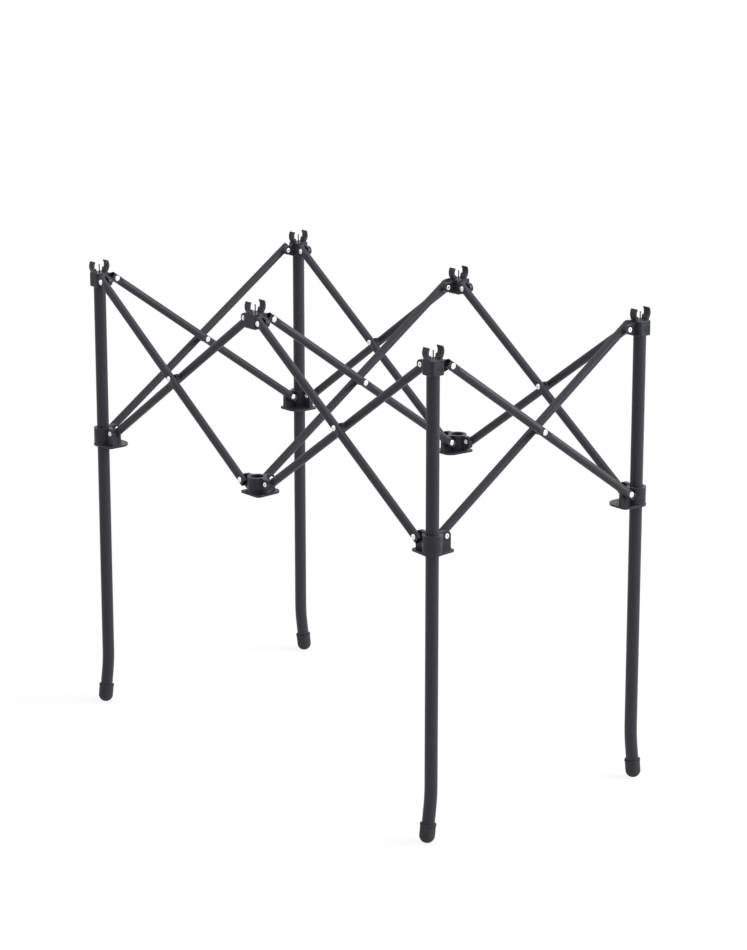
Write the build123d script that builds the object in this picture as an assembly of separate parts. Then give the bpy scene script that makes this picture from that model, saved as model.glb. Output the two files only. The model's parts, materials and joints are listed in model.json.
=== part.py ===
from build123d import *
import math
import os

# A folding scissor frame: three bays of crossed bars long and one bay deep, on four legs.
# Millimetres, +Z up, +X along the frame, origin on the floor under the middle of the frame.
# The frame is drawn standing open.

# Frame
PIVOT_HEIGHT = 700.0  # top bar pivots above the floor
OPEN_ANGLE = 35.0  # slope of every bar while the frame stands open
BAR_LINK = 215.0  # crossing rivet to end rivet, along a bar

# Tubes
LEG_DIAMETER = 19.0
LEG_WALL = 1.2
BAR_DIAMETER = 12.7
BAR_WALL = 1.0
BAR_TOP_END = 9.0  # bar past its upper rivet
BAR_LOW_END = 8.0  # bar past its lower rivet
PRESS_DEPTH = 2.0  # how deep the tube is pressed flat under a rivet head
PRESS_LENGTH = 10.0  # full-depth stretch of a pressed flat
PRESS_RUNOUT = 9.0  # slope from the flat back to the round tube

# Leg foot
FOOT_TILT = 6.8  # outward turn of the leg's lower end
BEND_RADIUS = 250.0
TAIL_LENGTH = 55.0  # bottom of the rubber foot to the end of the bend
FOOT_WALL = 2.0  # rubber round the tube
FOOT_HEIGHT = 29.0
FOOT_FLOOR = 7.5  # rubber under the tube's end
FOOT_FLAT = 0.3  # radius left level under the domed bottom
FOOT_RIM = 2.6  # height of the raised rim
RIM_STEP = 0.5

# Hubs
ARM_GAP = 3.15  # between a slider's sleeve and a bar upright beside it
END_GAP = 0.7  # least room between a top hub's block and a bar's end turning beside it
TONGUE = 6.5  # thickness of the arm plates
TONGUE_RADIUS = 7.2  # rounded end of a top hub's arm plate, about its rivet
HUB_TOP = 11.0  # tops of the blocks above the pivots
SHOULDER = 6.0  # end of the slope from the block's top, before the rivet
BLOCK_WALL = 2.5  # corner block round the leg
BLOCK_BELOW = 11.0
BLOCK_CORNER = 4.5
MID_SPARE = 0.25  # middle block past a corner block, along the frame
MID_BELOW = 12.5
MID_ROUND = 4.0  # lower edges of the middle block
SOCKET_TOP = 5.0  # end of the leg socket above the pivots
EDGE_BREAK = 0.8
STAKE_RADIUS = 1.3  # hole through which the leg is staked
STAKE_DROP = 1.8  # stake hole below the pivots
MID_HOLE_DEPTH = 4.0  # the like hole in a middle hub's bare face
MID_HOLE_ASIDE = 5.0
STAKE_RECESS_RADIUS = 7.0
STAKE_RECESS_DEPTH = 0.7

# Rail clip on each top hub
CLIP_BORE = 13.0  # half the width of the rail it takes
CLIP_WALL = 2.3
CLIP_LENGTH = 12.0
CLIP_LEDGE = 7.0  # ledges on which the rail rests, above the block
RAIL_SEAT = 3.4  # from the ledges up to the rail's widest place
RAIL_HOOK = 7.8  # from there up to the tips of the fingers
FINGER_INSET = 1.2  # outside of the fingers' feet, in from the rail's side
LEDGE_WIDTH = 3.0  # inner edge of a ledge, in from the rail's side
GAP_MIDDLE = 4.5  # the same below the ledge's slope
GAP_FLOOR = 4.7  # the same on the block
GAP_BREAK = 2.0  # where the ledge's slope ends, above the block
LIP_ROUND = 1.0
PIN_RADIUS = 0.9
PIN_HEIGHT = 13.0  # locating pin above the block

# Slider hubs
SLEEVE_WALL = 5.0
SLEEVE_ABOVE = 6.5
SLEEVE_BELOW = 22.5
MID_SLEEVE_ABOVE = 8.0
MID_SLEEVE_BELOW = 19.0
SLIDER_TONGUE_RADIUS = 8.0  # rounded top of a slider's arm plate, about its rivet
FLANGE_THICK = 3.0
FLANGE_EXTRA = 1.7  # flange past the end of an arm plate
FLANGE_LAP = 2.5  # flange corner past the sleeve on the outer sides
FLANGE_TAPER = 6.5  # narrowing of the outer edges towards the tips, degrees
FLANGE_FAR_ROUND = 20.0
FLANGE_TIP_ROUND = 6.0
MID_FLANGE_NEAR = 23.0  # half width of the middle flange at its outer edge
MID_FLANGE_FAR = 19.5  # half width at its inner edge
MID_FLANGE_ROUND = 14.0

# Rivets
SHANK_RADIUS = 2.0
HEAD_RADIUS = 4.4
HEAD_HEIGHT = 1.6
TAIL_RADIUS = 3.9
TAIL_HEIGHT = 1.3
SPACER_RADIUS = 5.6

# Clearances
SLIDE_FIT = 0.4  # slider sleeve round its leg, radial
PIVOT_FIT = 0.08  # turning bar round its rivet, radial
SNUG_FIT = 0.05  # pieces fixed to one another, radial
SIDE_PLAY = 0.3  # between a bar and the plate or spacer beside it
HEAD_PLAY = 0.15  # under a rivet's head or tail
OVERCUT = 1.0  # how far a cutter runs past the face it cuts

# Worked out from the sizes above
OPEN = math.radians(OPEN_ANGLE)
LEG_RADIUS = LEG_DIAMETER / 2
BAR_RADIUS = BAR_DIAMETER / 2
SLEEVE_RADIUS = LEG_RADIUS + SLEEVE_WALL
BLOCK_HALF = LEG_RADIUS + BLOCK_WALL
CLIP_RISE = CLIP_LEDGE + RAIL_SEAT
CLIP_TOP = CLIP_RISE + RAIL_HOOK
CLIP_FOOT = CLIP_BORE - FINGER_INSET
MID_LENGTH = 2 * (BLOCK_HALF + MID_SPARE)
MID_WIDTH = 2 * CLIP_FOOT  # middle block, flush with the fingers on it
BESIDE_SLEEVE = SLEEVE_RADIUS + ARM_GAP + BAR_RADIUS
BESIDE_BLOCK = max(MID_LENGTH, MID_WIDTH) / 2 + END_GAP + math.hypot(BAR_TOP_END, BAR_RADIUS)
ARM_REACH = max(BESIDE_SLEEVE, BESIDE_BLOCK)  # hub axis to end rivet
BAY = 2 * (ARM_REACH + BAR_LINK * math.cos(OPEN))
DROP = 2 * BAR_LINK * math.sin(OPEN)
BAR_OFFSET = TONGUE / 2 + SIDE_PLAY + BAR_RADIUS  # bar axis beside the line between two hubs
PRESS_FACE = BAR_OFFSET + BAR_RADIUS - PRESS_DEPTH
FOOT_RADIUS = LEG_RADIUS + FOOT_WALL
TONGUE_END = ARM_REACH + SLIDER_TONGUE_RADIUS
FLANGE_REACH = TONGUE_END + FLANGE_EXTRA

# Hub name: place in bays, quarter turn of its moulding, side of the frame its leg is on
HUBS = {
    "front_left": (-1, -0.5, 0, -1),
    "front_middle": (0, -0.5, 0, 0),
    "front_right": (1, -0.5, 90, 1),
    "back_left": (-1, 0.5, -90, -1),
    "back_middle": (0, 0.5, 180, 0),
    "back_right": (1, 0.5, 180, 1),
}
CORNER_ARMS = (0, 90)
MIDDLE_ARMS = (0, 90, 180)

# Bay name: the hubs its falling bar leaves from at the top and reaches at the bottom
BAYS = {
    "front_left": ("front_left", "front_middle"),
    "front_right": ("front_middle", "front_right"),
    "back_left": ("back_left", "back_middle"),
    "back_right": ("back_middle", "back_right"),
    "left_end": ("front_left", "back_left"),
    "middle": ("front_middle", "back_middle"),
    "right_end": ("front_right", "back_right"),
}


def upright(radius, low, high):
    """A cylinder on the Z axis between two heights."""
    return Pos(0, 0, low) * Cylinder(radius, high - low, align=(Align.CENTER, Align.CENTER, Align.MIN))


def across(radius, start, end):
    """A cylinder on the Y axis between two places."""
    return Rot(90, 0, 0) * upright(radius, -end, -start)


def hub_place(hub):
    """The axis of a hub in the plan."""
    along, deep = HUBS[hub][0:2]
    return Pos(along * BAY, deep * BAY, 0)


def is_corner(hub):
    return HUBS[hub][3] != 0


# ---- Bars ----


def press_cutter(depth):
    """What a press takes off the -Y side of a tube along X, from this depth outwards."""
    flat = PRESS_LENGTH / 2
    face = depth - BAR_RADIUS
    outside = -BAR_RADIUS - OVERCUT
    run = flat + (face - outside) * PRESS_RUNOUT / PRESS_DEPTH
    outline = Polyline((-run, outside), (-flat, face), (flat, face), (run, outside), close=True)
    return extrude(make_face(outline), BAR_DIAMETER, both=True)


def pressed_rod(radius, depth, spare):
    """A rod along X with its three pressed places, the crossing at its middle."""
    start = -BAR_LINK - BAR_TOP_END - spare
    end = BAR_LINK + BAR_LOW_END + spare
    rod = Rot(0, 90, 0) * upright(radius, start, end)
    for place in (-BAR_LINK, 0, BAR_LINK):
        rod -= Pos(place, 0, 0) * press_cutter(depth)
    return rod


def bar():
    """A tube pressed flat at its rivets, upper end at -X."""
    tube = pressed_rod(BAR_RADIUS, PRESS_DEPTH, 0)
    tube -= pressed_rod(BAR_RADIUS - BAR_WALL, PRESS_DEPTH + BAR_WALL, OVERCUT)
    for place in (-BAR_LINK, 0, BAR_LINK):
        tube -= Pos(place, 0, 0) * across(SHANK_RADIUS + PIVOT_FIT, -BAR_DIAMETER, BAR_DIAMETER)
    return tube


def bay_middle(bay):
    """The crossing of a bay's bars, turned so that X runs from its first hub to its second."""
    first, second = (HUBS[hub] for hub in BAYS[bay])
    along, deep = (first[0] + second[0]) / 2, (first[1] + second[1]) / 2
    heading = 0 if first[1] == second[1] else 90
    return Pos(along * BAY, deep * BAY, PIVOT_HEIGHT - DROP / 2) * Rot(0, 0, heading)


def bar_frame(bay, rising):
    """Where a bar's crossing lies, with X level from its upper end to its lower end."""
    return bay_middle(bay) * Rot(0, 0, 180 if rising else 0)


# ---- Rivets ----


def rivet_head(radius, height):
    """A domed head standing on -Y of the XZ plane."""
    dome = (radius**2 + height**2) / (2 * height)
    outline = make_face(
        [
            Line((0, 0), (radius, 0)),
            RadiusArc((radius, 0), (0, height), -dome),
            Line((0, height), (0, 0)),
        ]
    )
    return Rot(90, 0, 0) * revolve(Plane.XZ * outline, Axis.Z)


def rivet(start, end):
    """A rivet along Y: head outside start, rolled tail outside end."""
    shank = across(SHANK_RADIUS, start - HEAD_PLAY, end + HEAD_PLAY)
    head = Pos(0, start - HEAD_PLAY, 0) * rivet_head(HEAD_RADIUS, HEAD_HEIGHT)
    tail = Pos(0, end + HEAD_PLAY, 0) * Rot(0, 0, 180) * rivet_head(TAIL_RADIUS, TAIL_HEIGHT)
    return shank + head + tail


def hub_rivets(hub, low):
    """The rivets that one hub carries."""
    found = []
    for bay, (first, second) in BAYS.items():
        for rising in (False, True):
            top, bottom = (second, first) if rising else (first, second)
            if (bottom if low else top) != hub:
                continue
            side = 1 if low else -1
            end = Pos(side * BAR_LINK * math.cos(OPEN), 0, -side * BAR_LINK * math.sin(OPEN))
            found.append(bar_frame(bay, rising) * end * rivet(-PRESS_FACE, TONGUE / 2))
    return Compound(found)


def cross_rivet():
    return rivet(-PRESS_FACE, PRESS_FACE)


def cross_spacer():
    """The bush between the two bars at their crossing."""
    half = BAR_OFFSET - BAR_RADIUS - SIDE_PLAY
    hole = across(SHANK_RADIUS + SNUG_FIT, -half - OVERCUT, half + OVERCUT)
    return across(SPACER_RADIUS, -half, half) - hole


# ---- Legs and feet ----


def tail_drop():
    """How far the tilted foot's lowest point lies under the middle of its bottom."""
    tilt = math.radians(FOOT_TILT)
    dome = FOOT_RADIUS - FOOT_FLAT
    return dome * (1 - math.cos(tilt)) + FOOT_FLAT * math.sin(tilt)


def tail_points():
    """The leg's line in YZ: bend start, bend end, foot bottom."""
    tilt = math.radians(FOOT_TILT)
    bottom = tail_drop()
    bend_end = bottom + TAIL_LENGTH * math.cos(tilt)
    bend_start = bend_end + BEND_RADIUS * math.sin(tilt)
    shift = BEND_RADIUS * (1 - math.cos(tilt))
    return (0, bend_start), (-shift, bend_end), (-shift - TAIL_LENGTH * math.sin(tilt), bottom)


def foot_frame():
    """Z up along the leg's tail, from the middle of the foot's bottom."""
    y, z = tail_points()[2]
    return Pos(0, y, z) * Rot(-FOOT_TILT, 0, 0)


def leg_rod(radius, top):
    """The leg's line filled to a radius, its end on the foot's floor."""
    start, end, _ = tail_points()
    rod = upright(radius, start[1], top)
    bend_middle = Axis((0, start[0] - BEND_RADIUS, start[1]), (1, 0, 0))
    disc = Pos(0, start[0], start[1]) * Circle(radius)
    rod += revolve(disc, bend_middle, -FOOT_TILT)
    return rod + foot_frame() * upright(radius, FOOT_FLOOR, TAIL_LENGTH)


def leg():
    """A tube leg bent outwards at the bottom, towards -Y."""
    top = PIVOT_HEIGHT + SOCKET_TOP
    inner = LEG_RADIUS - LEG_WALL
    tube = leg_rod(LEG_RADIUS, top) - leg_rod(inner, top + OVERCUT)
    tube -= foot_frame() * upright(inner, FOOT_FLOOR - OVERCUT, FOOT_FLOOR + OVERCUT)
    return tube


def foot():
    """A domed rubber cap over the tube's end."""
    cap = upright(FOOT_RADIUS, 0, FOOT_HEIGHT)
    cap = fillet(cap.edges().sort_by(Axis.Z)[0], FOOT_RADIUS - FOOT_FLAT)
    cap += upright(FOOT_RADIUS + RIM_STEP, FOOT_HEIGHT - FOOT_RIM, FOOT_HEIGHT)
    cap -= upright(LEG_RADIUS + SNUG_FIT, FOOT_FLOOR - SNUG_FIT, FOOT_HEIGHT + OVERCUT)
    return foot_frame() * cap


# ---- Top hubs ----


def tongue(heading, start, below):
    """A top hub's arm plate with a web under it, from a block of this half width and depth."""
    radius = TONGUE_RADIUS
    plate = Polyline(
        (0, HUB_TOP),
        (start, HUB_TOP),
        (ARM_REACH - SHOULDER, radius),
        (ARM_REACH, radius),
        (ARM_REACH, -radius),
        (start + EDGE_BREAK, -below),
        (0, -below),
        close=True,
    )
    outline = make_face(plate) + Pos(ARM_REACH, 0) * Circle(radius)
    return Rot(0, 0, heading) * extrude(Plane.XZ * outline, TONGUE / 2, both=True)


def rivet_hole(heading):
    """The hole for a rivet's shank in an arm plate."""
    return Rot(0, 0, heading) * Pos(ARM_REACH, 0, 0) * across(SHANK_RADIUS + SNUG_FIT, -TONGUE, TONGUE)


def clip_gap():
    """The room between a clip's fingers, in YZ from the block's top: rail, ledges, floor."""
    wide = 2 * CLIP_BORE
    rail = Pos(0, CLIP_RISE) * Circle(CLIP_BORE)
    rail -= Pos(0, CLIP_LEDGE) * Rectangle(wide, wide, align=(Align.CENTER, Align.MAX))
    insets = ((GAP_FLOOR, 0), (GAP_MIDDLE, GAP_BREAK), (LEDGE_WIDTH, CLIP_LEDGE), (LEDGE_WIDTH, CLIP_RISE))
    left = [(inset - CLIP_BORE, height) for inset, height in insets]
    right = [(CLIP_BORE - inset, height) for inset, height in reversed(insets)]
    return rail + make_face(Polyline(*left, *right, close=True))


def rail_clip():
    """Two fingers that hold a rail along X, and the locating pin between them."""
    outer = CLIP_BORE + CLIP_WALL
    fingers = Pos(0, CLIP_RISE) * Circle(outer)
    fingers += Rectangle(2 * CLIP_FOOT, CLIP_RISE, align=(Align.CENTER, Align.MIN))
    fingers -= Rectangle(2 * outer, outer, align=(Align.CENTER, Align.MAX))
    fingers -= Pos(0, CLIP_TOP) * Rectangle(2 * outer, outer, align=(Align.CENTER, Align.MIN))
    fingers -= clip_gap()
    fingers = fillet(fingers.vertices().group_by(Axis.Y)[-1], LIP_ROUND)
    fingers += Rectangle(2 * CLIP_FOOT, OVERCUT, align=(Align.CENTER, Align.MAX))
    clip = extrude(Plane.YZ * fingers, CLIP_LENGTH / 2, both=True)
    return Pos(0, 0, HUB_TOP) * (clip + upright(PIN_RADIUS, -OVERCUT, PIN_HEIGHT))


def corner_block():
    """The square block round the top of a leg."""
    height = HUB_TOP + BLOCK_BELOW
    block = Pos(0, 0, (HUB_TOP - BLOCK_BELOW) / 2) * Box(2 * BLOCK_HALF, 2 * BLOCK_HALF, height)
    block = fillet(block.edges().filter_by(Axis.Z), BLOCK_CORNER)
    ends = block.edges().group_by(Axis.Z)
    return chamfer(ends[0] + ends[-1], EDGE_BREAK)


def stake_cut(side):
    """The round recess and stake hole on a corner hub's outer face."""
    recess = upright(STAKE_RECESS_RADIUS, BLOCK_HALF - STAKE_RECESS_DEPTH, BLOCK_HALF + OVERCUT)
    hole = upright(STAKE_RADIUS, LEG_RADIUS - LEG_WALL / 2, BLOCK_HALF)
    return Pos(0, 0, -STAKE_DROP) * Rot(0, side * 90, 0) * (recess + hole)


def corner_top_hub(turn, side):
    """A top hub on a leg; side is the end of the frame it is at, -1 or 1."""
    hub = corner_block() + rail_clip()
    for heading in CORNER_ARMS:
        hub += tongue(heading + turn, BLOCK_HALF, BLOCK_BELOW)
    hub -= upright(LEG_RADIUS + SNUG_FIT, -BLOCK_BELOW - OVERCUT, SOCKET_TOP + SNUG_FIT)
    hub -= stake_cut(side)
    for heading in CORNER_ARMS:
        hub -= rivet_hole(heading + turn)
    return hub


def bowed_profile(width):
    """An upright outline of the middle block, its lower corners rounded."""
    outline = Pos(0, (HUB_TOP - MID_BELOW) / 2) * Rectangle(width, HUB_TOP + MID_BELOW)
    return fillet(outline.vertices().group_by(Axis.Y)[0], MID_ROUND)


def middle_block():
    """The block of a top hub without a leg, rounded underneath both ways."""
    along = extrude(Plane.XZ * bowed_profile(MID_LENGTH), MID_WIDTH / 2, both=True)
    deep = extrude(Plane.YZ * bowed_profile(MID_WIDTH), MID_LENGTH / 2, both=True)
    return along & deep


def bare_face_hole():
    """The small blind hole in a middle block's armless face."""
    face = -MID_WIDTH / 2
    hole = across(STAKE_RADIUS, face - OVERCUT, face + MID_HOLE_DEPTH)
    return Pos(-MID_HOLE_ASIDE, 0, -STAKE_DROP) * hole


def middle_top_hub(turn):
    """A top hub between two bays, with three arms."""
    hub = middle_block() + rail_clip() - Rot(0, 0, turn) * bare_face_hole()
    for heading in MIDDLE_ARMS:
        half = MID_WIDTH / 2 if heading == 90 else MID_LENGTH / 2
        hub += tongue(heading + turn, half, MID_BELOW - MID_ROUND)
    for heading in MIDDLE_ARMS:
        hub -= rivet_hole(heading + turn)
    return hub


# ---- Slider hubs ----


def rounded_plate(corners):
    """A plan outline through corners, each given as x, y and rounding."""
    outline = make_face(Polyline([(x, y) for x, y, _ in corners], close=True))
    for x, y, radius in corners:
        outline = fillet(outline.vertices().sort_by_distance((x, y, 0))[0], radius)
    return outline


def corner_flange():
    """The flange between two arms, its outer edges drawn in towards the tips."""
    near = SLEEVE_RADIUS + FLANGE_LAP
    far = FLANGE_REACH
    tip = near - (near + far) * math.tan(math.radians(FLANGE_TAPER))
    return rounded_plate(
        [
            (-near, -near, SLEEVE_RADIUS),
            (far, -tip, FLANGE_TIP_ROUND),
            (far, far, FLANGE_FAR_ROUND),
            (-tip, far, FLANGE_TIP_ROUND),
        ]
    )


def middle_flange():
    """The flange under a sleeve and its cross arm."""
    near = SLEEVE_RADIUS + FLANGE_LAP / 2
    return rounded_plate(
        [
            (-MID_FLANGE_NEAR, -near, FLANGE_TIP_ROUND),
            (MID_FLANGE_NEAR, -near, FLANGE_TIP_ROUND),
            (MID_FLANGE_FAR, FLANGE_REACH, MID_FLANGE_ROUND),
            (-MID_FLANGE_FAR, FLANGE_REACH, MID_FLANGE_ROUND),
        ]
    )


def slider_tongue(heading, foot_end, below, above):
    """A slider's arm plate, standing on the flange as far as foot_end."""
    radius = SLIDER_TONGUE_RADIUS
    plate = Polyline(
        (0, -below),
        (foot_end, -below),
        (foot_end, FLANGE_THICK - below),
        (TONGUE_END, -radius),
        (TONGUE_END, 0),
        (ARM_REACH, radius),
        (0, above),
        close=True,
    )
    outline = make_face(plate) + Pos(ARM_REACH, 0) * Circle(radius)
    return Rot(0, 0, heading) * extrude(Plane.XZ * outline, TONGUE / 2, both=True)


def slider_body(flange, below, above):
    """A slider's sleeve on its flange."""
    sleeve = upright(SLEEVE_RADIUS, -below, above)
    return sleeve + Pos(0, 0, -below) * extrude(flange, FLANGE_THICK)


def slider_cuts(arms, below, above):
    """The bore and rivet holes of a slider."""
    cuts = upright(LEG_RADIUS + SLIDE_FIT, -below - OVERCUT, above + OVERCUT)
    return [cuts] + [rivet_hole(heading) for heading in arms]


def corner_slider(turn):
    """The hub that slides on a leg."""
    hub = slider_body(corner_flange(), SLEEVE_BELOW, SLEEVE_ABOVE)
    for heading in CORNER_ARMS:
        hub += slider_tongue(heading, TONGUE_END, SLEEVE_BELOW, SLEEVE_ABOVE)
    for cut in slider_cuts(CORNER_ARMS, SLEEVE_BELOW, SLEEVE_ABOVE):
        hub -= cut
    return Rot(0, 0, turn) * hub


def middle_slider(turn):
    """The hub that joins the lower bars between two bays, its sleeve empty."""
    hub = slider_body(middle_flange(), MID_SLEEVE_BELOW, MID_SLEEVE_ABOVE)
    for heading in MIDDLE_ARMS:
        foot_end = TONGUE_END if heading == 90 else MID_FLANGE_FAR
        hub += slider_tongue(heading, foot_end, MID_SLEEVE_BELOW, MID_SLEEVE_ABOVE)
    for cut in slider_cuts(MIDDLE_ARMS, MID_SLEEVE_BELOW, MID_SLEEVE_ABOVE):
        hub -= cut
    return Rot(0, 0, turn) * hub


# ---- Assembly ----


def write(name, shape):
    """Save one sub-part."""
    shape.label = name
    export_step(shape, os.path.join("parts", name + ".step"))


def write_top_hubs():
    for name, (_, _, turn, side) in HUBS.items():
        shape = corner_top_hub(turn, side) if is_corner(name) else middle_top_hub(turn)
        write("top_hub_" + name, hub_place(name) * Pos(0, 0, PIVOT_HEIGHT) * shape)
        write("top_rivets_" + name, hub_rivets(name, low=False))


def write_slider_hubs():
    for name, (_, _, turn, _) in HUBS.items():
        shape = corner_slider(turn) if is_corner(name) else middle_slider(turn)
        write("slider_hub_" + name, hub_place(name) * Pos(0, 0, PIVOT_HEIGHT - DROP) * shape)
        write("slider_rivets_" + name, hub_rivets(name, low=True))


def write_legs():
    tube = leg()
    cap = foot()
    for name, (_, deep, _, _) in HUBS.items():
        if not is_corner(name):
            continue
        place = hub_place(name) * Rot(0, 0, 0 if deep < 0 else 180)
        write("leg_" + name, place * tube)
        write("foot_" + name, place * cap)


def write_bars():
    tube = bar()
    for bay in BAYS:
        for rising in (False, True):
            place = bar_frame(bay, rising) * Pos(0, -BAR_OFFSET, 0) * Rot(0, OPEN_ANGLE, 0)
            write("bar_" + bay + ("_rising" if rising else "_falling"), place * tube)
        write("cross_rivet_" + bay, bar_frame(bay, False) * cross_rivet())
        write("cross_spacer_" + bay, bar_frame(bay, False) * cross_spacer())


def main():
    os.makedirs("parts", exist_ok=True)
    write_top_hubs()
    write_slider_hubs()
    write_legs()
    write_bars()


main()
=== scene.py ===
"""Finishes, rivets and setting of a folding scissor frame, laid out as an add-on."""

import json
import math

import bmesh
import bpy
from bpy.props import FloatProperty, FloatVectorProperty, IntProperty, PointerProperty
from bpy.types import Operator, Panel, PropertyGroup
from mathutils import Matrix, Vector

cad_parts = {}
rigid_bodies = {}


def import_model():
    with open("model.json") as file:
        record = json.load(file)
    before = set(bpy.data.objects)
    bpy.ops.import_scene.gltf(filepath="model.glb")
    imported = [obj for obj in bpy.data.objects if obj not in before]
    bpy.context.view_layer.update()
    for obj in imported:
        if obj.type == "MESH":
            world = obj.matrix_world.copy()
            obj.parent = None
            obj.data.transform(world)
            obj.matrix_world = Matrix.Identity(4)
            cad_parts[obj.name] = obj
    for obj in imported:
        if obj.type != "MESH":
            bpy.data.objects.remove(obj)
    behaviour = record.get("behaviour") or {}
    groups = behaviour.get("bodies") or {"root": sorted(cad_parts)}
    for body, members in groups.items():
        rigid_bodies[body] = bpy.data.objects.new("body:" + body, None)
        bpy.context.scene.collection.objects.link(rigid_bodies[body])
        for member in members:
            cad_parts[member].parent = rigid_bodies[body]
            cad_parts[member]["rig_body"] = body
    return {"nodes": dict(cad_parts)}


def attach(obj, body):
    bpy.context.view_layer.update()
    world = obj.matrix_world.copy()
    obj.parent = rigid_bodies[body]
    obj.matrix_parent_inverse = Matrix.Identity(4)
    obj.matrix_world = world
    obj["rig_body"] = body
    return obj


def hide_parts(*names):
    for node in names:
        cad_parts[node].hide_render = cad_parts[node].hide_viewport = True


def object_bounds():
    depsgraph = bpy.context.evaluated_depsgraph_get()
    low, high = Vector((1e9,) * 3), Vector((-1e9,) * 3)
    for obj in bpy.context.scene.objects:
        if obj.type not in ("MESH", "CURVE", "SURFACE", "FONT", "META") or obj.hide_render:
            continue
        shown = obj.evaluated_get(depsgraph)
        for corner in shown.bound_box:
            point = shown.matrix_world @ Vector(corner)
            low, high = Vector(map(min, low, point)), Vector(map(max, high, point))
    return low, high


bl_info = {
    "name": "Folding Scissor Frame",
    "version": (1, 0, 0),
    "blender": (4, 5, 0),
    "location": "3D View > Sidebar > Scissor Frame",
    "description": "Finishes, rivets and setting of a folding scissor frame",
    "category": "Object",
}

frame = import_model()
CAD_BOX = [list(corner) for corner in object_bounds()]
WHITE = (1.0, 1.0, 1.0, 1.0)
WELD = 1e-6  # metres; points nearer than this become one
NOISE_SCALE = 0.7  # scale of the noise in a grain against the scale of its pebbles


# ---- Sizes and colours ----


class TubeFinish(PropertyGroup):
    """Powder coat of the legs and the bars."""

    colour: FloatVectorProperty(
        name="Colour",
        description="Main colour of the powder coat",
        subtype="COLOR",
        size=4,
        min=0.0,
        max=1.0,
        default=(0.0252, 0.0242, 0.0318, 1.0),
    )
    # fleck colours the coat's real fine grains and also the painted highlight along the tube's
    # edges
    fleck_and_edge_highlight: FloatVectorProperty(
        name="Fleck",
        description="Paler colour of the coat's fine grains and of its painted edge highlights",
        subtype="COLOR",
        size=4,
        min=0.0,
        max=1.0,
        default=(0.05, 0.048, 0.056, 1.0),
    )
    grain: FloatProperty(
        name="Grain",
        description="Width of one grain of the powder coat",
        subtype="DISTANCE",
        unit="LENGTH",
        min=0.0001,
        default=0.0009,
    )
    depth: FloatProperty(
        name="Depth",
        description="Height of the powder coat's orange peel",
        subtype="DISTANCE",
        unit="LENGTH",
        min=0.0,
        default=0.00012,
    )
    gloss: FloatProperty(
        name="Roughness",
        description="Mean roughness of the coat",
        subtype="FACTOR",
        min=0.0,
        max=1.0,
        default=0.38,
    )
    specular: FloatProperty(
        name="Specular",
        description="Specular level of the coat",
        subtype="FACTOR",
        min=0.0,
        max=1.0,
        default=0.15,
    )
    cloud: FloatProperty(
        name="Cloud",
        description="Width of one cloud of change in the coat's gloss",
        subtype="DISTANCE",
        unit="LENGTH",
        min=0.001,
        default=0.035,
    )
    # edge sets the width of the painted highlight along the tube's edges
    edge: FloatProperty(
        name="Edge",
        description="Width of the painted highlight along the tube's edges",
        subtype="DISTANCE",
        unit="LENGTH",
        min=0.0,
        default=0.0007,
    )


class NylonFinish(PropertyGroup):
    """Moulded nylon of the hubs and spacers."""

    colour: FloatVectorProperty(
        name="Colour",
        description="Main colour of the nylon",
        subtype="COLOR",
        size=4,
        min=0.0,
        max=1.0,
        default=(0.0188, 0.0196, 0.0257, 1.0),
    )
    bloom: FloatVectorProperty(
        name="Bloom",
        description="Paler colour of the flow marks left by the mould",
        subtype="COLOR",
        size=4,
        min=0.0,
        max=1.0,
        default=(0.042, 0.043, 0.053, 1.0),
    )
    # Painted highlight: the paler colour given to the moulding's outer edges.
    painted_highlight: FloatVectorProperty(
        name="Painted Edge Highlight",
        description="Paler colour of the moulding's rubbed edges",
        subtype="COLOR",
        size=4,
        min=0.0,
        max=1.0,
        default=(0.12, 0.124, 0.145, 1.0),
    )
    grain: FloatProperty(
        name="Grain",
        description="Width of one pit of the spark-eroded mould face",
        subtype="DISTANCE",
        unit="LENGTH",
        min=0.0001,
        default=0.0006,
    )
    depth: FloatProperty(
        name="Depth",
        description="Depth of the pits",
        subtype="DISTANCE",
        unit="LENGTH",
        min=0.0,
        default=0.00008,
    )
    gloss: FloatProperty(
        name="Roughness",
        description="Mean roughness of the nylon",
        subtype="FACTOR",
        min=0.0,
        max=1.0,
        default=0.33,
    )
    specular: FloatProperty(
        name="Specular",
        description="Specular level of the nylon",
        subtype="FACTOR",
        min=0.0,
        max=1.0,
        default=0.15,
    )
    cloud: FloatProperty(
        name="Cloud",
        description="Width of one flow mark",
        subtype="DISTANCE",
        unit="LENGTH",
        min=0.001,
        default=0.012,
    )
    # edge sets the width of the painted highlight along the moulding's edges
    edge: FloatProperty(
        name="Edge",
        description="Width of the rubbed edges",
        subtype="DISTANCE",
        unit="LENGTH",
        min=0.0,
        default=0.0012,
    )


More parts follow.
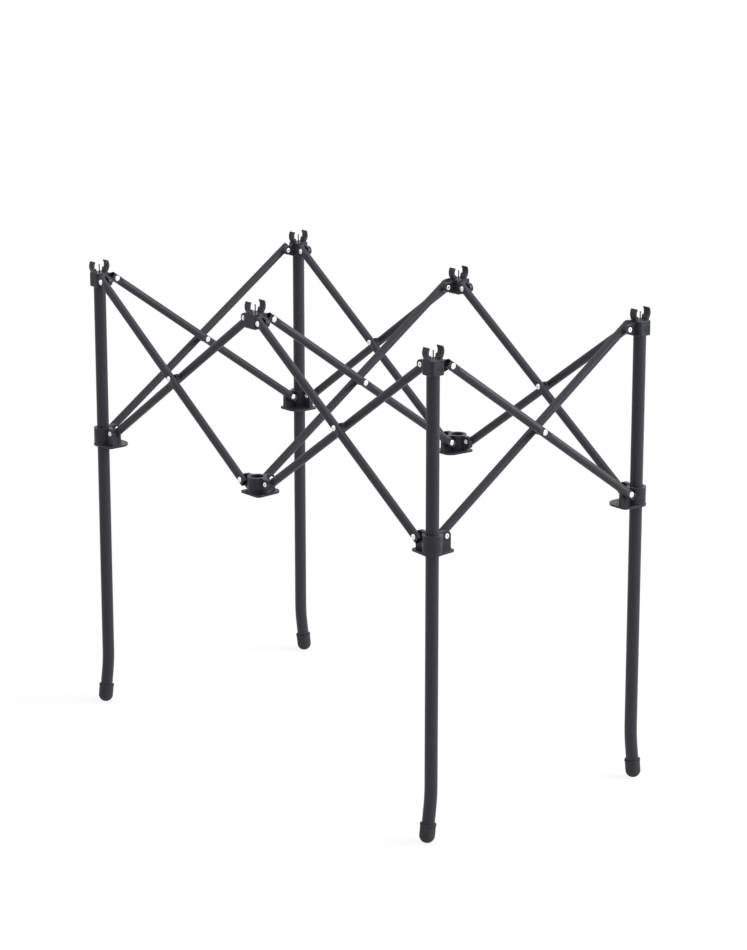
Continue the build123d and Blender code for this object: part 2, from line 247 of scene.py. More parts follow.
class RubberFinish(PropertyGroup):
    """Rubber of the foot caps."""

    colour: FloatVectorProperty(
        name="Colour",
        description="Main colour of the rubber",
        subtype="COLOR",
        size=4,
        min=0.0,
        max=1.0,
        default=(0.0165, 0.0165, 0.0215, 1.0),
    )
    dust: FloatVectorProperty(
        name="Dust",
        description="Colour of the dust held in the rubber's grain",
        subtype="COLOR",
        size=4,
        min=0.0,
        max=1.0,
        default=(0.055, 0.055, 0.06, 1.0),
    )
    grain: FloatProperty(
        name="Grain",
        description="Width of one pebble of the rubber's grain",
        subtype="DISTANCE",
        unit="LENGTH",
        min=0.0001,
        default=0.0014,
    )
    depth: FloatProperty(
        name="Depth",
        description="Height of the pebbles",
        subtype="DISTANCE",
        unit="LENGTH",
        min=0.0,
        default=0.0002,
    )
    gloss: FloatProperty(
        name="Roughness",
        description="Mean roughness of the rubber",
        subtype="FACTOR",
        min=0.0,
        max=1.0,
        default=0.695,
    )
    specular: FloatProperty(
        name="Specular",
        description="Specular level of the rubber",
        subtype="FACTOR",
        min=0.0,
        max=1.0,
        default=0.25,
    )
    cloud: FloatProperty(
        name="Cloud",
        description="Width of one patch of dust",
        subtype="DISTANCE",
        unit="LENGTH",
        min=0.001,
        default=0.01,
    )


class ZincFinish(PropertyGroup):
    """Plated steel of the rivets, and the sizes of their formed ends."""

    colour: FloatVectorProperty(
        name="Colour",
        description="Colour of the zinc plating",
        subtype="COLOR",
        size=4,
        min=0.0,
        max=1.0,
        default=(0.84, 0.84, 0.85, 1.0),
    )
    tarnish: FloatVectorProperty(
        name="Tarnish",
        description="Colour of the plating where it is dull",
        subtype="COLOR",
        size=4,
        min=0.0,
        max=1.0,
        default=(0.56, 0.56, 0.57, 1.0),
    )
    # Painted shade: the plating down in a rivet's dimple or hollow is darkened by this factor.
    painted_hollow_shade: FloatProperty(
        name="Painted Hollow Shade",
        description="Brightness of the plating down in a dimple or a hollow",
        subtype="FACTOR",
        min=0.0,
        max=1.0,
        default=0.6,
    )
    grain: FloatProperty(
        name="Grain",
        description="Width of one crystal of the plating",
        subtype="DISTANCE",
        unit="LENGTH",
        min=0.0001,
        default=0.0004,
    )
    depth: FloatProperty(
        name="Depth",
        description="Height of the crystals",
        subtype="DISTANCE",
        unit="LENGTH",
        min=0.0,
        default=0.00004,
    )
    gloss: FloatProperty(
        name="Roughness",
        description="Mean roughness of the plating",
        subtype="FACTOR",
        min=0.0,
        max=1.0,
        default=0.38,
    )
    metallic: FloatProperty(
        name="Metallic",
        description="How metallic the plating is",
        subtype="FACTOR",
        min=0.0,
        max=1.0,
        default=0.85,
    )
    cloud: FloatProperty(
        name="Cloud",
        description="Width of one dull cloud",
        subtype="DISTANCE",
        unit="LENGTH",
        min=0.001,
        default=0.003,
    )
    head_dimple: FloatProperty(
        name="Head Dimple",
        description="Radius of the dimple in a rivet's head",
        subtype="DISTANCE",
        unit="LENGTH",
        min=0.0002,
        default=0.0008,
    )
    tail_hollow: FloatProperty(
        name="Tail Hollow",
        description="Radius of the hollow in a rivet's rolled tail",
        subtype="DISTANCE",
        unit="LENGTH",
        min=0.0002,
        default=0.0014,
    )
    dimple_depth: FloatProperty(
        name="Dimple Depth",
        description="Depth of the dimple in a rivet's head",
        subtype="DISTANCE",
        unit="LENGTH",
        min=0.0002,
        default=0.0007,
    )
    hollow_depth: FloatProperty(
        name="Hollow Depth",
        description="Depth of the hollow in a rivet's rolled tail",
        subtype="DISTANCE",
        unit="LENGTH",
        min=0.0002,
        default=0.0016,
    )
    head_height: FloatProperty(
        name="Head Height",
        description="Height of a rivet's domed head",
        subtype="DISTANCE",
        unit="LENGTH",
        min=0.0002,
        default=0.0016,
    )
    tail_height: FloatProperty(
        name="Tail Height",
        description="Height of a rivet's rolled tail",
        subtype="DISTANCE",
        unit="LENGTH",
        min=0.0002,
        default=0.0013,
    )
    shank: FloatProperty(
        name="Shank",
        description="Radius of a rivet between its two ends",
        subtype="DISTANCE",
        unit="LENGTH",
        min=0.0002,
        default=0.002,
    )
    edge: FloatProperty(
        name="Edge",
        description="Rounding of a rivet's edges",
        subtype="DISTANCE",
        unit="LENGTH",
        min=0.00005,
        default=0.00015,
    )
    steps: IntProperty(
        name="Steps",
        description="Faces round one rivet",
        min=12,
        default=32,
    )


class Setting(PropertyGroup):
    """Floor, light and camera."""

    floor: FloatVectorProperty(
        name="Floor",
        description="Colour of the floor",
        subtype="COLOR",
        size=4,
        min=0.0,
        max=1.0,
        default=(0.7, 0.7, 0.7, 1.0),
    )
    floor_size: FloatProperty(
        name="Floor Size",
        description="Width of the floor",
        subtype="DISTANCE",
        unit="LENGTH",
        min=1.0,
        default=60.0,
    )
    floor_white: FloatProperty(
        name="Floor White",
        description="How far the floor under the frame is lifted to white",
        subtype="FACTOR",
        min=0.0,
        max=1.0,
        default=0.86,
    )
    shadow_reach: FloatProperty(
        name="Shadow Reach",
        description="Distance out to which the floor keeps its full shadow",
        subtype="DISTANCE",
        unit="LENGTH",
        min=0.0,
        default=0.8,
    )
    white_reach: FloatProperty(
        name="White Reach",
        description="Distance from which the floor is plain white",
        subtype="DISTANCE",
        unit="LENGTH",
        min=0.0,
        default=2.6,
    )
    sky: FloatProperty(
        name="Sky",
        description="Strength of the even light all round",
        min=0.0,
        default=0.66,
    )
    key: FloatProperty(
        name="Key Light",
        description="Power of the large lamp on the right",
        subtype="POWER",
        unit="POWER",
        min=0.0,
        default=175.0,
    )
    key_place: FloatVectorProperty(
        name="Key Place",
        description="Where the lamp on the right hangs",
        subtype="TRANSLATION",
        unit="LENGTH",
        size=3,
        default=(2.2, 2.2, 1.9),
    )
    key_width: FloatProperty(
        name="Key Width",
        description="Width of the lamp on the right",
        subtype="DISTANCE",
        unit="LENGTH",
        min=0.1,
        default=2.4,
    )
    fill: FloatProperty(
        name="Fill Light",
        description="Power of the large lamp on the left",
        subtype="POWER",
        unit="POWER",
        min=0.0,
        default=14.0,
    )
    fill_place: FloatVectorProperty(
        name="Fill Place",
        description="Where the lamp on the left hangs",
        subtype="TRANSLATION",
        unit="LENGTH",
        size=3,
        default=(-1.4, -2.8, 1.6),
    )
    fill_width: FloatProperty(
        name="Fill Width",
        description="Width of the lamp on the left",
        subtype="DISTANCE",
        unit="LENGTH",
        min=0.1,
        default=2.4,
    )
    top: FloatProperty(
        name="Top Light",
        description="Power of the large lamp overhead",
        subtype="POWER",
        unit="POWER",
        min=0.0,
        default=50.0,
    )
    top_place: FloatVectorProperty(
        name="Top Place",
        description="Where the lamp overhead hangs",
        subtype="TRANSLATION",
        unit="LENGTH",
        size=3,
        default=(0.0, 0.4, 3.4),
    )
    top_width: FloatProperty(
        name="Top Width",
        description="Width of the lamp overhead",
        subtype="DISTANCE",
        unit="LENGTH",
        min=0.1,
        default=3.0,
    )
    camera_place: FloatVectorProperty(
        name="Camera Place",
        description="Where the camera stands",
        subtype="TRANSLATION",
        unit="LENGTH",
        size=3,
        default=(3.47159, -2.87742, 1.6435),
    )
    camera_turn: FloatProperty(
        name="Camera Turn",
        description="Turn of the camera about the vertical, from looking along +Y",
        subtype="ANGLE",
        unit="ROTATION",
        default=math.radians(50.079),
    )
    camera_dip: FloatProperty(
        name="Camera Dip",
        description="How far the camera looks down",
        subtype="ANGLE",
        unit="ROTATION",
        default=math.radians(15.081),
    )
    lens: FloatProperty(
        name="Lens",
        description="Focal length on a sensor 36 mm wide",
        unit="CAMERA",
        min=1.0,
        default=146.05,
    )


class FrameSettings(PropertyGroup):
    """Everything that the operators of this add-on read."""

    tube: PointerProperty(type=TubeFinish, name="Tube", description="Powder-coated tube")
    nylon: PointerProperty(type=NylonFinish, name="Nylon", description="Moulded nylon")
    rubber: PointerProperty(type=RubberFinish, name="Rubber", description="Foot rubber")
    zinc: PointerProperty(type=ZincFinish, name="Zinc", description="Zinc-plated rivets")
    setting: PointerProperty(type=Setting, name="Setting", description="Floor, light and camera")


# ---- Node helpers ----


class Nodes:
    """Adds and joins the nodes of one tree."""

    def __init__(self, tree):
        self.tree = tree

    def add(self, kind, **values):
        """One node, with values for its own settings and, by name, for its inputs."""
        node = self.tree.nodes.new(kind)
        for name, value in values.items():
            if hasattr(node, name):
                setattr(node, name, value)
            else:
                node.inputs[name.replace("_", " ").title()].default_value = value
        return node

    def join(self, source, target):
        """One link."""
        self.tree.links.new(source, target)

    def feed(self, sockets, values):
        """Give each socket its value, which is another socket, a plain value or nothing."""
        for socket, value in zip(sockets, values):
            if isinstance(value, bpy.types.NodeSocket):
                self.join(value, socket)
            elif value is not None:
                socket.default_value = value

    def math(self, operation, first, second=None, clamp=False):
        """One sum; each operand is a socket or a number."""
        node = self.add("ShaderNodeMath", operation=operation, use_clamp=clamp)
        self.feed(node.inputs, (first, second))
        return node.outputs[0]

    def tint(self, colour, other, mask, share):
        """A colour moved towards another where a mask says, by this share at the most."""
        node = self.add("ShaderNodeMix", data_type="RGBA")
        ends = [socket for socket in node.inputs if socket.type == "RGBA"]
        self.feed((node.inputs[0], *ends), (self.math("MULTIPLY", mask, share), colour, other))
        return next(socket for socket in node.outputs if socket.type == "RGBA")

    def ramp(self, value, low, high, start=0.0, end=1.0):
        """A value stretched from low..high to start..end, with soft ends."""
        node = self.add("ShaderNodeMapRange", interpolation_type="SMOOTHSTEP")
        names = ("Value", "From Min", "From Max", "To Min", "To Max")
        self.feed([node.inputs[name] for name in names], (value, low, high, start, end))
        return node.outputs["Result"]


def new_group(name, inputs, outputs):
    """A node group with float inputs and outputs; returns its helper and its two end nodes."""
    tree = bpy.data.node_groups.new(name, "ShaderNodeTree")
    for label, value in inputs:
        socket = tree.interface.new_socket(label, in_out="INPUT", socket_type="NodeSocketFloat")
        socket.default_value = value
    for label in outputs:
        tree.interface.new_socket(label, in_out="OUTPUT", socket_type="NodeSocketFloat")
    nodes = Nodes(tree)
    return nodes, nodes.add("NodeGroupInput"), nodes.add("NodeGroupOutput")


def place_group(nodes, name, **values):
    """A node group placed in a material with its own values."""
    return nodes.add("ShaderNodeGroup", node_tree=bpy.data.node_groups[name], **values)


# ---- Effects that several finishes share ----


def build_grain():
    """Fine grain: round pebbles broken up by noise, and a mask of the highest ones."""
    nodes, start, end = new_group("Grain", (("Grain Width", 0.001),), ("Height", "Fleck"))
    where = nodes.add("ShaderNodeTexCoord").outputs["Object"]
    scale = nodes.math("DIVIDE", 1.0, start.outputs["Grain Width"])
    cells = nodes.add("ShaderNodeTexVoronoi", feature="SMOOTH_F1", smoothness=0.6)
    nodes.join(where, cells.inputs["Vector"])
    nodes.join(scale, cells.inputs["Scale"])
    noise = nodes.add("ShaderNodeTexNoise", detail=3.0, roughness=0.6)
    nodes.join(where, noise.inputs["Vector"])
    nodes.join(nodes.math("MULTIPLY", scale, NOISE_SCALE), noise.inputs["Scale"])
    pebble = nodes.math("SUBTRACT", 1.0, cells.outputs["Distance"])
    both = nodes.math("ADD", pebble, noise.outputs["Fac"])
    height = nodes.math("DIVIDE", both, 2.0)
    nodes.join(height, end.inputs["Height"])
    nodes.join(nodes.ramp(height, low=0.5, high=0.68), end.inputs["Fleck"])


def build_drift():
    """Slow, cloudy change over a surface, from 0 to 1 and a half on the whole."""
    inputs = (("Cloud Width", 0.05), ("Contrast", 1.0))
    nodes, start, end = new_group("Drift", inputs, ("Value",))
    middle = 0.5
    where = nodes.add("ShaderNodeTexCoord").outputs["Object"]
    noise = nodes.add("ShaderNodeTexNoise", detail=4.0, roughness=0.55, distortion=0.4)
    nodes.join(where, noise.inputs["Vector"])
    nodes.join(nodes.math("DIVIDE", 1.0, start.outputs["Cloud Width"]), noise.inputs["Scale"])
    spread = nodes.math("SUBTRACT", noise.outputs["Fac"], middle)
    spread = nodes.math("MULTIPLY", spread, start.outputs["Contrast"])
    nodes.join(nodes.math("ADD", spread, middle, clamp=True), end.inputs["Value"])


def build_edge():
    """A mask of the outer edges for a painted edge highlight, broken up so that it isn't an even
    line.
    """
    inputs = (("Edge Width", 0.0008), ("Break Up", 0.5))
    nodes, start, end = new_group("Edge", inputs, ("Mask",))
    rounded = nodes.add("ShaderNodeBevel", samples=6)
    nodes.join(start.outputs["Edge Width"], rounded.inputs["Radius"])
    plain = nodes.add("ShaderNodeNewGeometry").outputs["Normal"]
    turn = nodes.add("ShaderNodeVectorMath", operation="DOT_PRODUCT")
    nodes.join(rounded.outputs["Normal"], turn.inputs[0])
    nodes.join(plain, turn.inputs[1])
    lean = nodes.math("SUBTRACT", 1.0, turn.outputs["Value"])
    sharp = nodes.ramp(lean, low=0.02, high=0.22)
    where = nodes.add("ShaderNodeTexCoord").outputs["Object"]
    noise = nodes.add("ShaderNodeTexNoise", scale=420.0, detail=3.0)
    nodes.join(where, noise.inputs["Vector"])
    patches = nodes.ramp(noise.outputs["Fac"], low=0.35, high=0.6)
    gaps = nodes.math("MULTIPLY", patches, start.outputs["Break Up"])
    kept = nodes.math("SUBTRACT", 1.0, gaps)
    nodes.join(nodes.math("MULTIPLY", sharp, kept, clamp=True), end.inputs["Mask"])


def build_effects():
    """Every shared effect, once."""
    for name, build in (("Grain", build_grain), ("Drift", build_drift), ("Edge", build_edge)):
        if name not in bpy.data.node_groups:
            build()


# ---- Materials ----


def new_material(name):
    """An empty material, its node helper and its Principled shader."""
    material = bpy.data.materials.new(name)
    material.use_nodes = True
    nodes = Nodes(material.node_tree)
    shader = material.node_tree.nodes["Principled BSDF"]
    return material, nodes, shader


def set_roughness(nodes, shader, mean, *spreads):
    """Roughness about a mean; each spread is a value from 0 to 1 and how far it reaches."""
    rough = mean - sum(reach for _, reach in spreads) / 2
    for value, reach in spreads:
        rough = nodes.math("ADD", nodes.math("MULTIPLY", value, reach), rough)
    nodes.join(rough, shader.inputs["Roughness"])


def set_bump(nodes, shader, height, depth, strength):
    """Bump from a height between 0 and 1 that stands for this depth."""
    bump = nodes.add("ShaderNodeBump", distance=depth, strength=strength)
    nodes.join(height, bump.inputs["Height"])
    nodes.join(bump.outputs["Normal"], shader.inputs["Normal"])


def powder_coat(finish):
    """Satin charcoal powder coat with a fine grain and a painted highlight along its edges."""
    material, nodes, shader = new_material("powder_coat")
    grain = place_group(nodes, "Grain", grain_width=finish.grain)
    drift = place_group(nodes, "Drift", cloud_width=finish.cloud, contrast=1.6)
    edge = place_group(nodes, "Edge", edge_width=finish.edge, break_up=0.6)
    height, cloud = grain.outputs["Height"], drift.outputs["Value"]
    colour = nodes.tint(finish.colour, finish.fleck_and_edge_highlight, grain.outputs["Fleck"], share=0.45)
    # Painted highlight: the outer edges are tinted towards the paler fleck colour.
    colour = nodes.tint(colour, finish.fleck_and_edge_highlight, edge.outputs["Mask"], share=0.5)
    nodes.join(colour, shader.inputs["Base Color"])
    set_roughness(nodes, shader, finish.gloss, (cloud, 0.12), (height, 0.08))
    shader.inputs["Specular IOR Level"].default_value = finish.specular
    set_bump(nodes, shader, height, depth=finish.depth, strength=0.6)
    return material


def moulded_nylon(finish):
    """Dark nylon from a spark-eroded mould, with a painted highlight on its edges."""
    material, nodes, shader = new_material("moulded_nylon")
    grain = place_group(nodes, "Grain", grain_width=finish.grain)
    drift = place_group(nodes, "Drift", cloud_width=finish.cloud, contrast=2.2)
    edge = place_group(nodes, "Edge", edge_width=finish.edge, break_up=0.4)
    cloud = drift.outputs["Value"]
    colour = nodes.tint(finish.colour, finish.bloom, cloud, share=0.35)
    # Painted highlight: the outer edges are tinted towards a paler colour.
    colour = nodes.tint(colour, finish.painted_highlight, edge.outputs["Mask"], share=0.8)
    nodes.join(colour, shader.inputs["Base Color"])
    set_roughness(nodes, shader, finish.gloss, (cloud, 0.14))
    shader.inputs["Specular IOR Level"].default_value = finish.specular
    set_bump(nodes, shader, grain.outputs["Height"], depth=finish.depth, strength=0.7)
    return material


def foot_rubber(finish):
    """Dull pebbled rubber with dust in its grain."""
    material, nodes, shader = new_material("foot_rubber")
    grain = place_group(nodes, "Grain", grain_width=finish.grain)
    drift = place_group(nodes, "Drift", cloud_width=finish.cloud, contrast=2.0)
    cloud = drift.outputs["Value"]
    low = nodes.math("SUBTRACT", 1.0, grain.outputs["Fleck"])
    held = nodes.math("MULTIPLY", low, cloud)
    colour = nodes.tint(finish.colour, finish.dust, held, share=0.3)
    nodes.join(colour, shader.inputs["Base Color"])
    set_roughness(nodes, shader, finish.gloss, (cloud, 0.15))
    shader.inputs["Specular IOR Level"].default_value = finish.specular
    set_bump(nodes, shader, grain.outputs["Height"], depth=finish.depth, strength=0.8)
    return material


def zinc_plate(finish, name, painted_shade):
    """Bright zinc plating with dull clouds; a painted shade below 1 darkens it for the shade down
    in a hollow.
    """
    material, nodes, shader = new_material(name)
    grain = place_group(nodes, "Grain", grain_width=finish.grain)
    drift = place_group(nodes, "Drift", cloud_width=finish.cloud, contrast=2.4)
    cloud = drift.outputs["Value"]
    bright = [channel * painted_shade for channel in finish.colour[:3]] + [1.0]
    dull = [channel * painted_shade for channel in finish.tarnish[:3]] + [1.0]
    nodes.join(nodes.tint(bright, dull, cloud, share=0.4), shader.inputs["Base Color"])
    shader.inputs["Metallic"].default_value = finish.metallic
    set_roughness(nodes, shader, finish.gloss, (cloud, 0.2))
    set_bump(nodes, shader, grain.outputs["Height"], depth=finish.depth, strength=0.5)
    return material


def dress(prefixes, material):
    """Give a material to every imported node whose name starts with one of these."""
    found = [node for name, node in sorted(frame["nodes"].items()) if name.startswith(prefixes)]
    if not found:
        raise RuntimeError(f"no packed node is named {prefixes}")
    for node in found:
        node.data.materials.clear()
        node.data.materials.append(material)
    return found


# ---- Rivets ----


def shell_of(seed):
    """Every vertex joined to this one."""
    found = {seed}
    waiting = [seed]
    while waiting:
        for edge in waiting.pop().link_edges:
            for vert in edge.verts:
                if vert not in found:
                    found.add(vert)
                    waiting.append(vert)
    return found


def rivets_in(node):
    """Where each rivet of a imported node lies: head end, tail end, head radius, tail radius."""
    shape = bmesh.new()
    shape.from_mesh(node.data)
    bmesh.ops.remove_doubles(shape, verts=shape.verts, dist=WELD)
    left = set(shape.verts)
    rows = []
    while left:
        verts = shell_of(next(iter(left)))
        left -= verts
        rows.append(measure_rivet([vert.co.copy() for vert in verts]))
    shape.free()
    return sorted(rows, key=lambda row: tuple(row[0]))


def measure_rivet(points):
    """The two ends of a rivet and the radius of the formed head at each, larger one first."""
    low = Vector(min(point[axis] for point in points) for axis in range(3))
    high = Vector(max(point[axis] for point in points) for axis in range(3))
    size = high - low
    middle = (low + high) / 2
    across, beside, along = sorted(range(3), key=lambda axis: size[axis])
    ends = []
    for place, inward in ((low, 1), (high, -1)):
        end = middle.copy()
        end[along] = place[along]
        near = [p for p in points if (p[along] - end[along]) * inward < size[along] / 3]
        radius = max(math.hypot(p[across] - end[across], p[beside] - end[beside]) for p in near)
        ends.append((end, radius))
    (head, head_radius), (tail, tail_radius) = sorted(ends, key=lambda row: -row[1])
    return head, tail, head_radius, tail_radius


def quarter(start, end, level_first, steps):
    """The points of a quarter ellipse after its start, from which it sets off level or upright."""
    points = []
    for step in range(1, steps + 1):
        bend = math.pi / 2 * step / steps
        shares = (math.sin(bend), 1.0 - math.cos(bend))
        out, along = shares if level_first else reversed(shares)
        radius = start[0] + (end[0] - start[0]) * out
        distance = start[1] + (end[1] - start[1]) * along
        points.append((radius, distance))
    return points


def rivet_outline(length, head, tail, zinc):
    """A rivet's outline from its head's dimple to its tail's hollow, as (radius, distance)."""
    dimple, hollow, edge = zinc.head_dimple, zinc.tail_hollow, zinc.edge
    neck = length - zinc.tail_height
    roll = length - zinc.tail_height / 2
    floor = length - zinc.hollow_depth
    line = [(0.0, zinc.dimple_depth)]
    line += quarter(line[-1], (dimple, edge), level_first=True, steps=3)
    line += quarter(line[-1], (dimple + edge, 0.0), level_first=False, steps=2)
    line += quarter(line[-1], (head, zinc.head_height - edge), level_first=True, steps=5)
    line += [(head - edge, zinc.head_height), (zinc.shank, zinc.head_height)]
    line += [(zinc.shank, neck), (tail - edge, neck), (tail, neck + edge)]
    line += quarter(line[-1], ((tail + hollow) / 2, length), level_first=False, steps=4)
    line += quarter(line[-1], (hollow, roll), level_first=True, steps=3)
    line += [(hollow - edge, floor + edge), (0.0, floor)]
    return line


def spin_rivet(shape, row, zinc):
    """Spin one rivet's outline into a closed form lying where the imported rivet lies."""
    start, end, head, tail = row
    axis = end - start
    outline = rivet_outline(axis.length, head, tail, zinc)
    verts = [shape.verts.new((radius, 0.0, distance)) for radius, distance in outline]
    edges = [shape.edges.new(pair) for pair in zip(verts, verts[1:])]
    bmesh.ops.spin(
        shape,
        geom=verts + edges,
        cent=(0.0, 0.0, 0.0),
        axis=(0.0, 0.0, 1.0),
        angle=math.tau,
        steps=zinc.steps,
        use_merge=True,
    )
    finish_plating([face for face in shape.faces if not face.tag], axis.length, zinc)
    bmesh.ops.remove_doubles(shape, verts=untagged_verts(shape), dist=WELD)
    turn = Vector((0.0, 0.0, 1.0)).rotation_difference(axis.normalized()).to_matrix().to_4x4()
    lay = Matrix.Translation(start) @ turn
    bmesh.ops.transform(shape, matrix=lay, verts=untagged_verts(shape))
    for face in shape.faces:
        face.tag = True


def untagged_verts(shape):
    """The vertices of the rivet that is being made: earlier ones have their faces tagged."""
    return list({vert for face in shape.faces if not face.tag for vert in face.verts})


def finish_plating(faces, length, zinc):
    """Smooth faces, with the plating down in the dimple and in the hollow given the darker
    material of painted shade.
    """
    for face in faces:
        place = face.calc_center_median()
        reach = math.hypot(place.x, place.y)
        limit = zinc.head_dimple if place.z < length / 2 else zinc.tail_hollow
        # Faces down in the dimple or the hollow take the second material, darkened as painted
        # shade.
        face.material_index = 1 if reach < limit else 0
        face.smooth = True


def make_rivets(node, zinc, materials):
    """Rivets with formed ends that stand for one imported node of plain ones."""
    shape = bmesh.new()
    for row in rivets_in(node):
        spin_rivet(shape, row, zinc)
    bmesh.ops.recalc_face_normals(shape, faces=shape.faces)
    piece = new_object(node.name + "_formed", shape, materials)
    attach(piece, node["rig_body"])
    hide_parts(node.name)


def new_object(name, shape, materials):
    """An object at the origin, in the scene, with this shape and these materials."""
    mesh = bpy.data.meshes.new(name)
    shape.to_mesh(mesh)
    shape.free()
    for material in materials:
        mesh.materials.append(material)
    made = bpy.data.objects.new(name, mesh)
    bpy.context.scene.collection.objects.link(made)
    return made


# ---- Setting ----


def plainly_seen(nodes):
    """One for rays that show a surface or its reflection, nought for rays that only light."""
    path = nodes.add("ShaderNodeLightPath")
    seen = nodes.math("MAXIMUM", path.outputs["Is Camera Ray"], path.outputs["Is Glossy Ray"])
    return nodes.math("MAXIMUM", seen, path.outputs["Is Transmission Ray"])


def floor_material(setting):
    """A pale floor, white from a distance, that keeps a faint shadow under the frame."""
    material, nodes, shader = new_material("pale_floor")
    shader.inputs["Base Color"].default_value = setting.floor
    shader.inputs["Roughness"].default_value = 0.9
    shader.inputs["Specular IOR Level"].default_value = 0.1
    glow = nodes.add("ShaderNodeEmission")
    glow.inputs["Color"].default_value = WHITE
    glow.inputs["Strength"].default_value = 1.0
    away = nodes.add("ShaderNodeVectorMath", operation="LENGTH")
    nodes.join(nodes.add("ShaderNodeTexCoord").outputs["Object"], away.inputs[0])
    white = nodes.ramp(
        away.outputs["Value"],
        low=setting.shadow_reach,
        high=setting.white_reach,
        start=setting.floor_white,
    )
    mix = nodes.add("ShaderNodeMixShader")
    share = nodes.math("MULTIPLY", plainly_seen(nodes), white)
    nodes.feed(mix.inputs, (share, shader.outputs["BSDF"], glow.outputs["Emission"]))
    output = material.node_tree.nodes["Material Output"]
    nodes.join(mix.outputs["Shader"], output.inputs["Surface"])
    return material


def make_floor(setting):
    """A wide flat floor under the feet."""
    shape = bmesh.new()
    bmesh.ops.create_grid(shape, x_segments=2, y_segments=2, size=setting.floor_size / 2)
    new_object("floor", shape, [floor_material(setting)])


def make_sky(setting):
    """Even white light all round, seen as plain white."""
    world = bpy.data.worlds.new("studio")
    world.use_nodes = True
    nodes = Nodes(world.node_tree)
    back = world.node_tree.nodes["Background"]
    back.inputs["Color"].default_value = WHITE
    extra = nodes.math("MULTIPLY", plainly_seen(nodes), 1.0 - setting.sky)
    nodes.join(nodes.math("ADD", extra, setting.sky), back.inputs["Strength"])
    bpy.context.scene.world = world


def make_lamp(name, place, width, power):
    """A large soft square lamp aimed at the middle of the frame."""
    lamp = bpy.data.lights.new(name, "AREA")
    lamp.shape = "SQUARE"
    lamp.size = width
    lamp.energy = power
    holder = bpy.data.objects.new(name, lamp)
    bpy.context.scene.collection.objects.link(holder)
    low, high = (Vector(corner) for corner in CAD_BOX)
    aim = (low + high) / 2 - Vector(place)
    holder.location = place
    holder.rotation_euler = aim.to_track_quat("-Z", "Y").to_euler()


def make_camera(setting):
    """The camera that the main picture is taken with."""
    lens = bpy.data.cameras.new("camera")
    lens.sensor_fit = "HORIZONTAL"
    lens.sensor_width = 36.0
    lens.lens = setting.lens
    camera = bpy.data.objects.new("camera", lens)
    bpy.context.scene.collection.objects.link(camera)
    camera.location = setting.camera_place
    camera.rotation_euler = (math.pi / 2 - setting.camera_dip, 0.0, setting.camera_turn)
    bpy.context.scene.camera = camera


# ---- Operators ----


class FRAME_OT_tubes(Operator):
    """Powder-coat the legs and the scissor bars"""

    bl_idname = "scissor_frame.tubes"
    bl_label = "Legs and Bars"

    def execute(self, context):
        build_effects()
        dress(("leg_", "bar_"), powder_coat(context.scene.scissor_frame.tube))
        return {"FINISHED"}


class FRAME_OT_hubs(Operator):
    """Give the top hubs, slider hubs and spacers their moulded nylon"""

    bl_idname = "scissor_frame.hubs"
    bl_label = "Hubs and Spacers"

    def execute(self, context):
        build_effects()
        nylon = moulded_nylon(context.scene.scissor_frame.nylon)
        dress(("top_hub_", "slider_hub_", "cross_spacer_"), nylon)
        return {"FINISHED"}


class FRAME_OT_feet(Operator):
    """Give the foot caps their rubber"""

    bl_idname = "scissor_frame.feet"
    bl_label = "Foot Caps"

    def execute(self, context):
        build_effects()
        dress(("foot_",), foot_rubber(context.scene.scissor_frame.rubber))
        return {"FINISHED"}


class FRAME_OT_rivets(Operator):
    """Make every rivet with its dimpled head and rolled tail"""

    bl_idname = "scissor_frame.rivets"
    bl_label = "Rivets"

    def execute(self, context):
        build_effects()
        zinc = context.scene.scissor_frame.zinc
        # The second material is the plating darkened as painted shade, for the dimple and the
        # hollow.
        materials = (
            zinc_plate(zinc, "zinc_plate", painted_shade=1.0),
            zinc_plate(zinc, "zinc_painted_shade_hollow", painted_shade=zinc.painted_hollow_shade),
        )
        for node in dress(("top_rivets_", "slider_rivets_", "cross_rivet_"), materials[0]):
            make_rivets(node, zinc, materials)
        return {"FINISHED"}


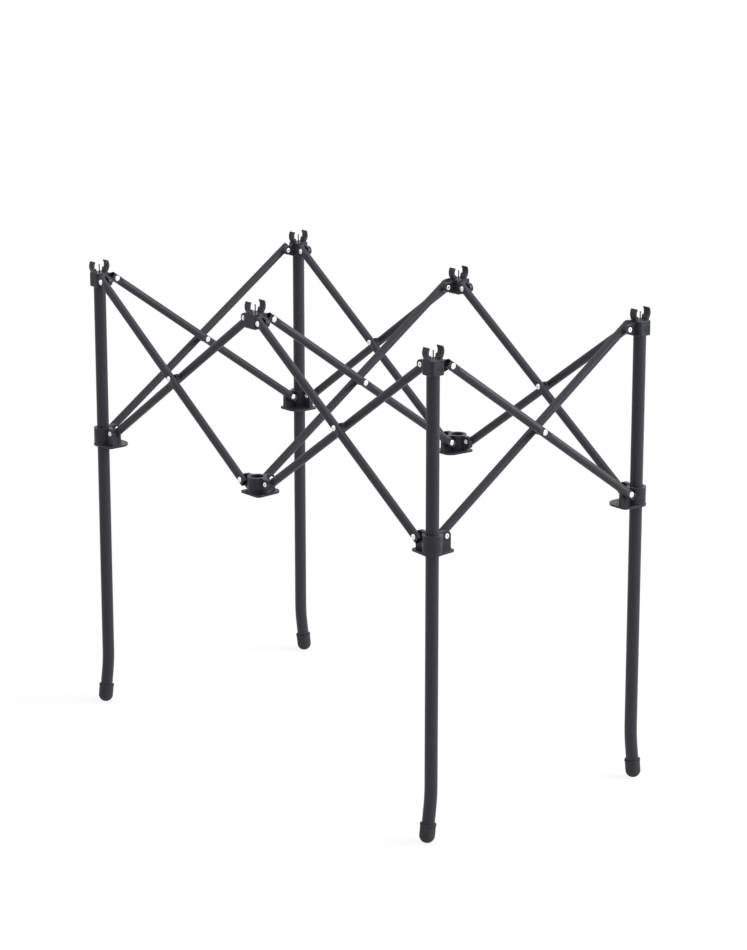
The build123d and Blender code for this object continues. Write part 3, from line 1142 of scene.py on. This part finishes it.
class FRAME_OT_setting(Operator):
    """Make the pale floor, the soft light and the camera"""

    bl_idname = "scissor_frame.setting"
    bl_label = "Floor, Light and Camera"

    def execute(self, context):
        setting = context.scene.scissor_frame.setting
        make_floor(setting)
        make_sky(setting)
        make_lamp("key_light", setting.key_place, setting.key_width, setting.key)
        make_lamp("fill_light", setting.fill_place, setting.fill_width, setting.fill)
        make_lamp("top_light", setting.top_place, setting.top_width, setting.top)
        make_camera(setting)
        context.scene.view_settings.view_transform = "Standard"
        return {"FINISHED"}


class FRAME_PT_sidebar(Panel):
    """Lists the steps that finish the frame"""

    bl_idname = "FRAME_PT_sidebar"
    bl_label = "Scissor Frame"
    bl_space_type = "VIEW_3D"
    bl_region_type = "UI"
    bl_category = "Scissor Frame"

    def draw(self, context):
        settings = context.scene.scissor_frame
        for step, group in STEPS:
            box = self.layout.box()
            box.operator(step.bl_idname)
            values = getattr(settings, group)
            for name in values.bl_rna.properties.keys():
                if name not in ("rna_type", "name"):
                    box.prop(values, name)


STEPS = (
    (FRAME_OT_setting, "setting"),
    (FRAME_OT_tubes, "tube"),
    (FRAME_OT_hubs, "nylon"),
    (FRAME_OT_feet, "rubber"),
    (FRAME_OT_rivets, "zinc"),
)

CLASSES = (
    TubeFinish,
    NylonFinish,
    RubberFinish,
    ZincFinish,
    Setting,
    FrameSettings,
    FRAME_OT_tubes,
    FRAME_OT_hubs,
    FRAME_OT_feet,
    FRAME_OT_rivets,
    FRAME_OT_setting,
    FRAME_PT_sidebar,
)


def register():
    """Add the classes and the settings to Blender."""
    for kind in CLASSES:
        bpy.utils.register_class(kind)
    bpy.types.Scene.scissor_frame = PointerProperty(type=FrameSettings)


def unregister():
    """Take them away again."""
    del bpy.types.Scene.scissor_frame
    for kind in reversed(CLASSES):
        bpy.utils.unregister_class(kind)


def main():
    """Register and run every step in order."""
    register()
    bpy.ops.scissor_frame.setting()
    bpy.ops.scissor_frame.tubes()
    bpy.ops.scissor_frame.hubs()
    bpy.ops.scissor_frame.feet()
    bpy.ops.scissor_frame.rivets()


if __name__ == "__main__":
    main()
